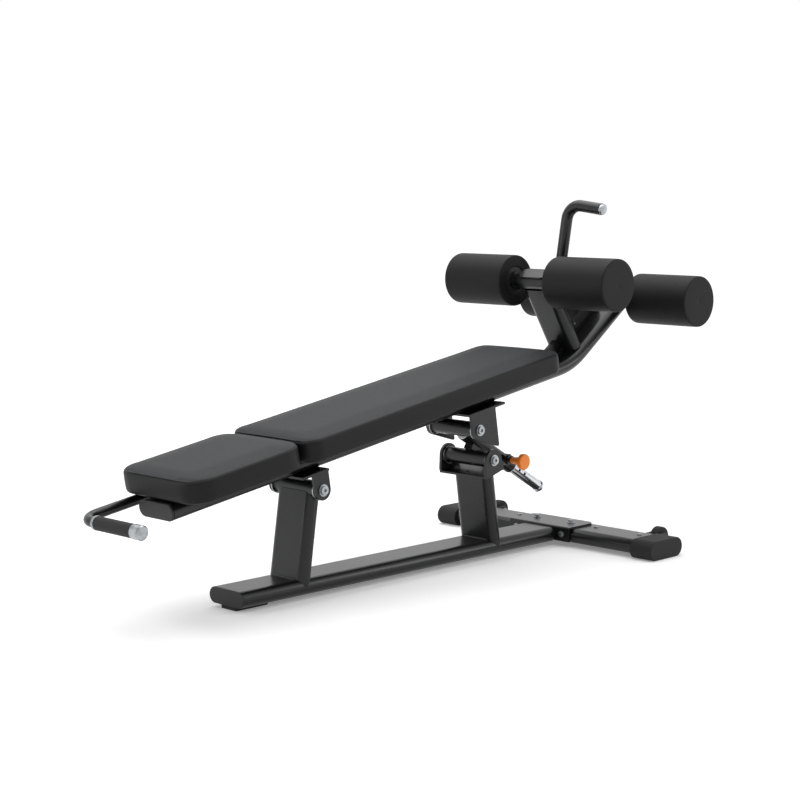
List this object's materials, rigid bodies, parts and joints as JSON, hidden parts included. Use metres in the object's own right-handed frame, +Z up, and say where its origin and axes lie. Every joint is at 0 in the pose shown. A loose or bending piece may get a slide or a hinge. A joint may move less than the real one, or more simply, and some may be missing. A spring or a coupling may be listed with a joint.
{
  "type": "adjustable weight bench",
  "caption": "Decline sit-up bench: padded top on a pivoting flat-oval rail, pin-locked sliding prop, foam leg rollers, grab handles and a T foot with wheels.",
  "frame": {"origin": "on the floor, under the middle of the overall length and width at rest", "axes": "+X along the bench towards the leg rollers, +Y across it, +Z up"},
  "size_m": [1.8677, 0.782, 0.9549],
  "materials": {
    "black_powder_coat": "satin black powder coat",
    "bright_steel": "zinc-plated, bright",
    "chrome_tube": "polished chrome plate",
    "black_upholstery": "fine-grain synthetic leather, sewn",
    "roller_foam": "smooth matte foam skin",
    "black_plastic": "moulded, matte",
    "bush_plastic": "light acetal bush",
    "black_rubber": "moulded rubber, matte",
    "wheel_rubber": "solid rubber wheel",
    "orange_plastic": "moulded, semi-gloss orange",
    "plywood": "birch plywood, stained black"
  },
  "bodies": {
    "base": {"base_beam": "black_powder_coat", "beam_front_cap": "black_plastic", "front_foot": "black_rubber", "front_post": "black_powder_coat", "rear_post": "black_powder_coat", "rear_fork": "black_powder_coat", "front_hub_tube": "black_powder_coat", "front_hub_rings": "bright_steel", "foot_tube": "black_powder_coat", "foot_saddle": "black_powder_coat", "saddle_bolts": "bright_steel", "foot_screws": "bright_steel", "foot_boots": "black_rubber", "wheel_brackets": "black_powder_coat", "wheel_axles": "bright_steel", "trunnion_bolts": "bright_steel"},
    "bench_frame": {"main_rail": "black_powder_coat", "rail_head_cap": "black_plastic", "front_bracket": "black_powder_coat", "front_pivot_bolts": "bright_steel", "hub_bracket": "black_powder_coat", "hub_bolts": "bright_steel", "roller_strut": "black_powder_coat", "roller_web": "black_powder_coat", "name_plate": "black_plastic", "plate_rivets": "bright_steel", "head_cushion": "black_upholstery", "back_cushion": "black_upholstery", "pad_boards": "plywood", "pad_straps": "black_powder_coat", "strap_screws": "bright_steel", "carry_handle": "black_powder_coat", "carry_grip": "black_rubber", "carry_trim": "bright_steel", "hook_handle": "black_powder_coat", "hook_cap": "bright_steel", "upper_axle": "black_powder_coat", "lower_axle": "black_powder_coat", "axle_retainers": "bright_steel"},
    "trunnion": {"trunnion_tube": "black_powder_coat", "trunnion_rings": "bright_steel", "slide_sleeve": "black_powder_coat", "sleeve_bushes": "bush_plastic"},
    "slide_link": {"slide_tube": "chrome_tube", "slide_stop": "chrome_tube", "hub_tube": "black_powder_coat", "hub_rings": "bright_steel"},
    "pin": {"pull_pin": "bright_steel", "pull_knob": "orange_plastic"},
    "upper_near_roller": {"upper_near_foam": "roller_foam", "upper_near_core": "black_plastic"},
    "upper_far_roller": {"upper_far_foam": "roller_foam", "upper_far_core": "black_plastic"},
    "lower_near_roller": {"lower_near_foam": "roller_foam", "lower_near_core": "black_plastic"},
    "lower_far_roller": {"lower_far_foam": "roller_foam", "lower_far_core": "black_plastic"},
    "near_wheel": {"wheel_near": "wheel_rubber"},
    "far_wheel": {"wheel_far": "wheel_rubber"}
  },
  "joints": [
    {"name": "bench_tilt", "type": "hinge", "parent": "base", "child": "bench_frame", "pos_m": [-0.3595, 0, 0.268], "axis": [0, -1, 0], "range_deg": [0, 10]},
    {"name": "trunnion_turn", "type": "hinge", "parent": "base", "child": "trunnion", "pos_m": [0.2555, 0, 0.2728], "axis": [0, -1, 0], "range_deg": [-22.6, 0]},
    {"name": "slide_travel", "type": "slide", "parent": "trunnion", "child": "slide_link", "axis": [-0.8625, 0, 0.506], "range_m": [0, 0.1016]},
    {"name": "pin_pull", "type": "slide", "parent": "trunnion", "child": "pin", "axis": [0, -1, 0], "range_m": [0, 0.01], "stiffness_N_per_m": 700, "springref_m": -0.006},
    {"name": "upper_near_spin", "type": "hinge", "parent": "bench_frame", "child": "upper_near_roller", "pos_m": [0.5225, -0.179, 0.732], "axis": [0, 1, 0], "continuous": true},
    {"name": "upper_far_spin", "type": "hinge", "parent": "bench_frame", "child": "upper_far_roller", "pos_m": [0.5225, 0.179, 0.732], "axis": [0, 1, 0], "continuous": true},
    {"name": "lower_near_spin", "type": "hinge", "parent": "bench_frame", "child": "lower_near_roller", "pos_m": [0.8629, -0.198, 0.6746], "axis": [0, 1, 0], "continuous": true},
    {"name": "lower_far_spin", "type": "hinge", "parent": "bench_frame", "child": "lower_far_roller", "pos_m": [0.8629, 0.198, 0.6746], "axis": [0, 1, 0], "continuous": true},
    {"name": "near_wheel_spin", "type": "hinge", "parent": "base", "child": "near_wheel", "pos_m": [0.7055, -0.294, 0.033], "axis": [0, 1, 0], "continuous": true},
    {"name": "far_wheel_spin", "type": "hinge", "parent": "base", "child": "far_wheel", "pos_m": [0.7055, 0.294, 0.033], "axis": [0, 1, 0], "continuous": true}
  ],
  "couplings": [
    {"joint": "trunnion_turn", "follows": "bench_tilt", "ratio": -2.246},
    {"joint": "slide_travel", "follows": "bench_tilt", "m_per_rad": 0.58075}
  ]
}
